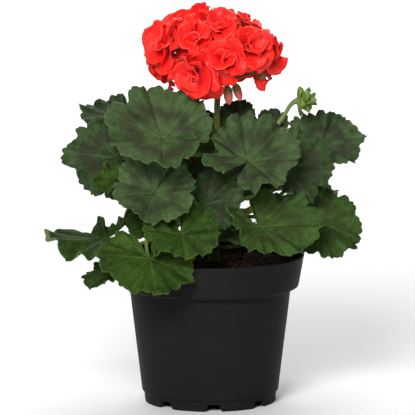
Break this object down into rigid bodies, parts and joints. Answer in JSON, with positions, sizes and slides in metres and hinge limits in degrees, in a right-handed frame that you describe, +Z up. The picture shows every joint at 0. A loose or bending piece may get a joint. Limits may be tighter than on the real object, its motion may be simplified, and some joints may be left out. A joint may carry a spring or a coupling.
{
  "type": "potted zonal geranium",
  "caption": "Leafy zonal geranium in a round nursery pot, with lobed leaves on long stalks, one round head of double red flowers and a young green umbel.",
  "frame": {"origin": "centre of the pot's base, on the floor", "axes": "+Z up along the pot's axis, +X to the viewer's right, +Y away from the viewer of the picture"},
  "size_m": [0.2189, 0.1701, 0.2748],
  "materials": {
    "pot_plastic": "satin black polypropylene",
    "potting_soil": "moist dark peat, rough and crumbly",
    "stem": "olive green, finely hairy, browner at the foot",
    "flower_stalk": "olive green, finely hairy",
    "bract": "fresh green, finely hairy",
    "leaf": "matte green with a brown ring and pale veins",
    "young_leaf": "fresh green, soft sheen, pale veins",
    "petal": "coral red, satin, thin and slightly translucent",
    "closed_bud": "pink, folded petals"
  },
  "bodies": {
    "root": {"bud_half_open": "petal", "bud_hanging_left": "closed_bud", "bud_hanging_right": "closed_bud", "flower_back_high": "petal", "flower_back_left": "petal", "flower_back_low": "petal", "flower_back_right": "petal", "flower_back_right_low": "petal", "flower_front": "petal", "flower_front_high": "petal", "flower_left": "petal", "flower_left_high": "petal", "flower_left_low": "petal", "flower_left_under": "petal", "flower_right": "petal", "flower_right_far": "petal", "flower_right_high": "petal", "flower_right_low": "petal", "flower_stalk": "flower_stalk", "flower_top": "petal", "leaf_back_left": "leaf", "leaf_back_left_high": "leaf", "leaf_back_left_low": "leaf", "leaf_back_low": "leaf", "leaf_back_middle_high": "leaf", "leaf_back_right_high": "leaf", "leaf_back_right_low": "leaf", "leaf_back_top": "leaf", "leaf_behind_stalk": "leaf", "leaf_frilly": "young_leaf", "leaf_front_bright": "young_leaf", "leaf_heart_small": "young_leaf", "leaf_left_edge": "leaf", "leaf_left_far": "leaf", "leaf_left_folded": "leaf", "leaf_left_high": "leaf", "leaf_left_low": "leaf", "leaf_left_middle": "leaf", "leaf_left_small": "young_leaf", "leaf_low_heart": "leaf", "leaf_middle_high": "leaf", "leaf_middle_low": "leaf", "leaf_over_rim": "young_leaf", "leaf_right_dark": "leaf", "leaf_right_droop": "leaf", "leaf_right_heart": "leaf", "leaf_right_high": "leaf", "leaf_right_low": "leaf", "leaf_right_olive": "leaf", "leaf_right_tuft": "leaf", "leaf_shaded_high": "leaf", "leaf_shaded_low": "leaf", "pot": "pot_plastic", "soil": "potting_soil", "stem": "stem", "young_umbel": "bract"}
  },
  "joints": []
}
